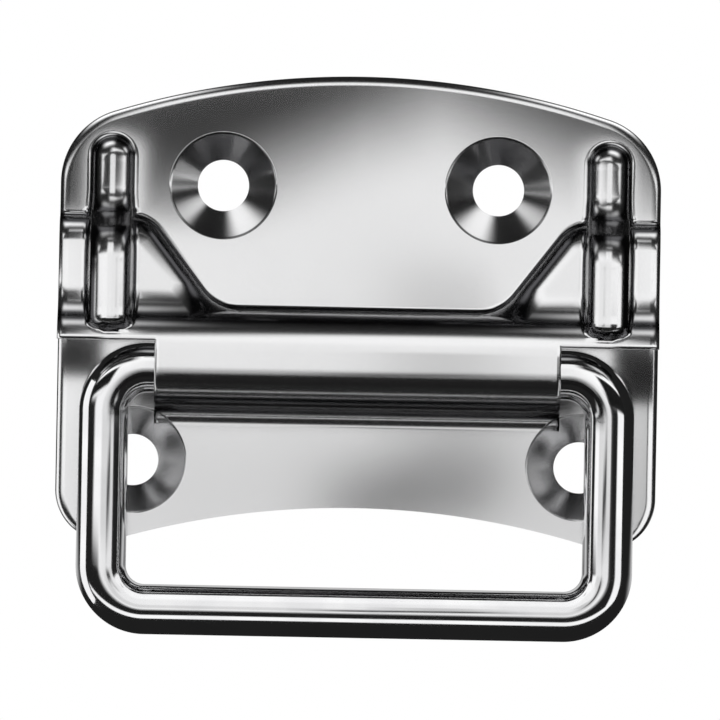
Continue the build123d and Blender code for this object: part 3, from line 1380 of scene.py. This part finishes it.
    def build(self, material: bpy.types.Material) -> bpy.types.Object:
        """Makes the plate, hangs it on the plate's body and hides the imported plate.

        Args:
            material: its finish.

        Returns:
            The plate.
        """
        right, shading, walls = self.half()
        mirror = np.array([-1.0, 1.0, 1.0])
        corners = np.concatenate([right, (right * mirror)[:, ::-1]])
        normals = np.concatenate([shading, (shading * mirror)[:, ::-1]])
        loose = corners.reshape(-1, 3)
        keys = np.round(loose * self.weld_per_mm).astype(np.int64)
        _, first, number = np.unique(keys, axis=0, return_index=True, return_inverse=True)
        faces = number.reshape(-1, 3)
        a, b, c = faces.T
        whole = (a != b) & (b != c) & (a != c)
        to_frame = np.array([[1.0, 0.0, 0.0], [0.0, -1.0, 0.0], [0.0, 0.0, 1.0]])
        points = loose[first] @ to_frame * MM
        mesh = bpy.data.meshes.new("pressed_plate")
        mesh.from_pydata(points.tolist(), [], faces[whole].tolist())
        mesh.shade_smooth()
        mesh.normals_split_custom_set((normals[whole].reshape(-1, 3) @ to_frame).tolist())
        mesh.materials.append(material)
        rings = [np.hypot(np.abs(loose[:, 0]) - x, loose[:, 2] - z) for x, z in self.form.holes]
        on_front = loose[:, 1] > self.form.land / 2
        ring = np.where(on_front, np.min(rings, axis=0), 99.0)
        # The steep attribute is the mask for the painted shade in the plate's material; turned marks the
        # countersinks' cones.
        steepness = np.concatenate([walls, walls[:, ::-1]])[whole].reshape(-1)
        for name, domain, values in (("steep", "CORNER", steepness), ("turned", "POINT", ring[first])):
            attribute = mesh.attributes.new(name, "FLOAT", domain)
            attribute.data.foreach_set("value", values.astype(np.float32))
        plate = put_in_scene("pressed_plate", mesh)
        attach(plate, Body.PLATE.value)
        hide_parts(Node.PLATE.value)
        log.info("plate: %d faces", len(mesh.polygons))
        return plate


@dataclass(frozen=True)
class Panel:
    """A lit window or a dark flag: a soft-edged rectangle, in degrees on the tent or millimetres on a screen."""

    across: float
    up: float
    half_width: float
    half_height: float
    soft: float
    level: float
    turn: float = 0.0

    def share(self, across: Signal, up: Signal) -> Signal:
        """How much of the patch there is at a place.

        Args:
            across: the place to the right.
            up: the place upwards.

        Returns:
            Its share, from nought to one.
        """
        turn = math.radians(self.turn)
        side, rise = across - self.across, up - self.up
        along = (side * math.cos(turn) + rise * math.sin(turn)).absolute()
        beyond = (rise * math.cos(turn) - side * math.sin(turn)).absolute()
        in_width = along.step(self.half_width - self.soft, self.half_width + self.soft, 1.0, 0.0)
        in_height = beyond.step(self.half_height - self.soft, self.half_height + self.soft, 1.0, 0.0)
        return in_width * in_height

    def laid_over(self, light: Signal, across: Signal, up: Signal) -> Signal:
        """Lays the patch over the light that there is at a place."""
        share = self.share(across, up)
        return light * (1.0 - share) + share * self.level


@dataclass(frozen=True)
class Arch:
    """Dark arch over the plate's top: soft below, its upper edge just above the plate's outline. In millimetres."""

    slope: float = 0.43
    left: tuple[float, float] = (-4.0, 20.0)
    right: tuple[float, float] = (8.0, 30.0)
    centre_drop: float = 112.2
    edge: tuple[float, float] = (132.5, 134.5)
    rib_x: float = 39.7
    rib_gap: tuple[float, float] = (2.6, 4.6)
    over_rib: tuple[float, float] = (6.5, 8.5)
    foot: tuple[float, float] = (-9.0, -4.0)

    def cover(self, x: Signal, z: Signal) -> Signal:
        """How solid the arch is.

        Args:
            x: the place to the right.
            z: the place upwards.

        Returns:
            Its share, from nought to one.
        """
        left = (z - x * self.slope).step(*self.left)
        right = (z + x * self.slope).step(*self.right)
        out = (x * x + (z + self.centre_drop) * (z + self.centre_drop)).root()
        beside_rib = (x.absolute() - self.rib_x).absolute().step(*self.rib_gap)
        beside_rib = beside_rib.largest(z.step(*self.over_rib))
        return left.largest(right) * out.step(*self.edge, 1.0, 0.0) * beside_rib * z.step(*self.foot)


@dataclass(frozen=True)
class Cards:
    """Several rectangles on one screen."""

    panels: tuple[Panel, ...]

    def cover(self, x: Signal, z: Signal) -> Signal:
        """How solid the screen is.

        Args:
            x: the place to the right.
            z: the place upwards.

        Returns:
            Its share, from nought to one.
        """
        solid = self.panels[0].share(x, z)
        for panel in self.panels[1:]:
            solid = solid.largest(panel.share(x, z))
        return solid


WHITE_CARDS = Cards((Panel(0.0, -78.0, 74.0, 3.2, 0.8, 1.1), Panel(63.0, -45.0, 11.5, 33.0, 1.5, 1.1)))
DARK_FLAGS = Cards(
    (
        Panel(-52.0, -27.8, 11.0, 3.2, 0.8, 0.0),
        Panel(52.0, -29.2, 11.0, 4.6, 0.8, 0.0),
        Panel(0.0, -33.9, 36.5, 2.9, 2.4, 0.0),
        Panel(0.0, -33.2, 31.5, 1.8, 0.8, 0.0),
    )
)


@dataclass(frozen=True)
class Studio:
    """Camera, floor, light tent and world. Lengths in millimetres."""

    centre_x: float = 0.36
    centre_z: float = -27.5
    view_width: float = 115.2
    distance: float = 2500.0
    roll: float = 1.08
    sensor: float = 36.0
    floor_drop: float = 300.0
    floor_half: float = 1500.0
    tent_radius: float = 100.0
    tent_steps: int = 96
    tent_rings: int = 48
    tent_level: float = 0.015
    white: float = 1.1
    panels: tuple[Panel, ...] = (
        Panel(0.0, 14.0, 32.0, 39.0, 6.0, 1.1),
        Panel(0.0, 16.0, 67.0, 14.0, 4.0, 1.1),
        Panel(-14.0, -8.0, 40.0, 12.0, 4.0, 1.1),
        Panel(34.0, -12.0, 5.0, 12.0, 3.0, 0.03),
        Panel(0.0, 4.0, 28.0, 22.0, 8.0, 0.97),
        Panel(0.0, -12.0, 28.0, 7.0, 4.0, 0.78),
        Panel(9.0, -3.0, 5.0, 10.0, 4.0, 0.65, 12.0),
        Panel(5.5, -12.8, 8.5, 3.4, 3.4, 0.05, 16.0),
        Panel(47.0, 71.0, 18.0, 10.0, 9.0, 1.5, -30.0),
        Panel(-47.0, 71.0, 18.0, 10.0, 9.0, 1.5, 30.0),
    )
    front_ends: tuple[float, float] = (126.0, 136.0)
    back_starts: tuple[float, float] = (140.0, 156.0)
    back_panels: tuple[Panel, ...] = (
        Panel(-122.0, -50.0, 24.0, 17.0, 12.0, 0.6, -22.0),
        Panel(122.0, -50.0, 24.0, 17.0, 12.0, 0.6, 22.0),
    )

    def camera(self) -> None:
        """Sets the camera square in front, far off, and turned a little about its line of sight."""
        data = bpy.data.cameras.new("camera")
        data.sensor_width = self.sensor
        data.lens = self.sensor * self.distance / self.view_width
        data.clip_start, data.clip_end = 0.1, 20.0
        camera = put_in_scene("camera", data)
        turn = Matrix.Rotation(math.radians(-self.roll), 4, "Y") @ Matrix.Rotation(math.radians(90), 4, "X")
        place = Vector((self.centre_x * MM, -self.distance * MM, self.centre_z * MM))
        camera.matrix_world = Matrix.Translation(place) @ turn
        bpy.context.scene.camera = camera

    @staticmethod
    def sheet(name: str, corners: Sequence[Place], material: bpy.types.Material) -> bpy.types.Object:
        """Makes a flat sheet.

        Args:
            name: what it is called.
            corners: its corners in millimetres.
            material: its finish.

        Returns:
            The sheet.
        """
        mesh = bpy.data.meshes.new(name)
        mesh.from_pydata([tuple(MM * value for value in corner) for corner in corners], [], [(0, 1, 2, 3)])
        mesh.materials.append(material)
        return put_in_scene(name, mesh)

    @staticmethod
    def hide(thing: bpy.types.Object) -> None:
        """Leaves a thing of the studio to reflections only."""
        thing.visible_camera = thing.visible_shadow = thing.visible_diffuse = False

    def floor(self) -> None:
        """Lays a plain pale floor below the object, seen from above only."""
        shader = Shader("pale_floor")
        pale = shader.surface((0.85, 0.85, 0.85, 1.0), 0.6)
        material = shader.finished(shader.blend(shader.is_back(), pale, shader.clear()))
        half = self.floor_half
        plan = ((-half, -half), (half, -half), (half, half), (-half, half))
        floor = self.sheet("floor", [(x, y, -self.floor_drop) for x, y in plan], material)

    def tent_light(self, shader: Shader) -> Signal:
        """Works out the tent's light from the direction in which it lies.

        Args:
            shader: the tent's material.

        Returns:
            The light.
        """
        middle = {0: shader.place(), 1: (0.0, 0.0, self.centre_z * MM)}
        place = shader.take("ShaderNodeVectorMath", middle, operation="SUBTRACT")
        scale = 1.0 / (self.tent_radius * MM)
        x, y, z = (part * scale for part in shader.split(place))
        turned = (0.0 - y).angle() * (180.0 / math.pi)
        degrees = turned / (x * x + z * z).root().largest(0.001)
        across, up = x * degrees, z * degrees
        light = across * 0.0 + self.tent_level
        for panel in self.panels:
            light = panel.laid_over(light, across, up)
        light = light * turned.step(*self.front_ends, 1.0, 0.0)
        light = light + turned.step(*self.back_starts) * (0.5 + z * 0.5)
        for panel in self.back_panels:
            light = panel.laid_over(light, across, up)
        return light

    def tent(self) -> None:
        """Closes a light tent round the object: lit windows and dark flags, hidden from the camera."""
        shader = Shader("light_tent")
        material = shader.finished(shader.glow(self.tent_light(shader)))
        radius, steps = self.tent_radius * MM, self.tent_steps
        points = []
        for ring in range(self.tent_rings + 1):
            tilt = math.pi * ring / self.tent_rings
            for step in range(steps):
                turn = 2 * math.pi * step / steps
                across, up = (radius * math.sin(tilt) * part for part in (math.cos(turn), math.sin(turn)))
                points.append((across, -radius * math.cos(tilt), up + self.centre_z * MM))
        faces = []
        for ring in range(self.tent_rings):
            for step in range(steps):
                here, beside = ring * steps + step, ring * steps + (step + 1) % steps
                faces.append((here, beside, beside + steps, here + steps))
        mesh = bpy.data.meshes.new("light_tent")
        mesh.from_pydata(points, [], faces)
        mesh.shade_smooth()
        mesh.materials.append(material)
        tent = put_in_scene("light_tent", mesh)
        self.hide(tent)

    def screen(self, name: str, distance: float, form: Union[Arch, Cards], level: float) -> None:
        """Hangs a screen between the tent and the object, seen in reflections only.

        Args:
            name: what it is called.
            distance: how far in front of the plate's back it hangs, in millimetres.
            form: gives how solid it is by millimetres to the right and upwards.
            level: its light.
        """
        shader = Shader(name)
        x, _, z = shader.split(shader.place())
        solid = form.cover(x * (1.0 / MM), z * (1.0 / MM))
        material = shader.finished(shader.blend(solid, shader.clear(), shader.glow(level)))
        plan = ((-90.0, -95.0), (90.0, -95.0), (90.0, 30.0), (-90.0, 30.0))
        sheet = self.sheet(name, [(x, -distance, z) for x, z in plan], material)
        self.hide(sheet)

    def board(self, name: str, corners: Sequence[Place], levels: tuple[float, float]) -> None:
        """Sets a plain lit board near the object, seen in reflections only.

        Args:
            name: what it is called.
            corners: its corners in millimetres.
            levels: the light of the side that its corners run round counterclockwise, and of the other side.
        """
        shader = Shader(name)
        light = levels[0] + shader.is_back() * (levels[1] - levels[0])
        sheet = self.sheet(name, corners, shader.finished(shader.glow(light)))
        self.hide(sheet)

    def world(self) -> None:
        """Puts white behind the object."""
        world = bpy.data.worlds.new("studio")
        bpy.context.scene.world = world
        world.use_nodes = True
        graph = Graph(world.node_tree)
        back = graph.take("ShaderNodeBackground", {"Color": WHITE, "Strength": 1.0})
        graph.node("ShaderNodeOutputWorld", {"Surface": back})

    def build(self) -> None:
        """Sets up the whole studio."""
        self.camera()
        self.floor()
        self.tent()
        self.screen("dark_arch", 30.0, Arch(), 0.03)
        self.screen("white_cards", 23.0, WHITE_CARDS, self.white)
        self.screen("dark_flags", 17.0, DARK_FLAGS, 0.01)
        side = [(-75.0, y, z) for y, z in ((-19.0, -98.0), (3.0, -98.0), (3.0, -14.0), (-19.0, -14.0))]
        self.board("side_board", side, (self.white, self.white))
        shelf = [(x, y, -37.0) for x, y in ((-34.0, -17.5), (34.0, -17.5), (34.0, -27.0), (-34.0, -27.0))]
        self.board("lit_shelf", shelf, (self.white, 0.0))
        self.world()
        bpy.context.scene.view_settings.view_transform = "Standard"


def main() -> None:
    """Builds the pieces in order, then the studio."""
    logging.basicConfig(level=logging.INFO, format="%(name)s %(message)s")
    Studio().build()
    Bail().build(BailPlating().build())
    MountingPlate(SheetForm()).build(PlatePlating().build())


if __name__ == "__main__":
    main()
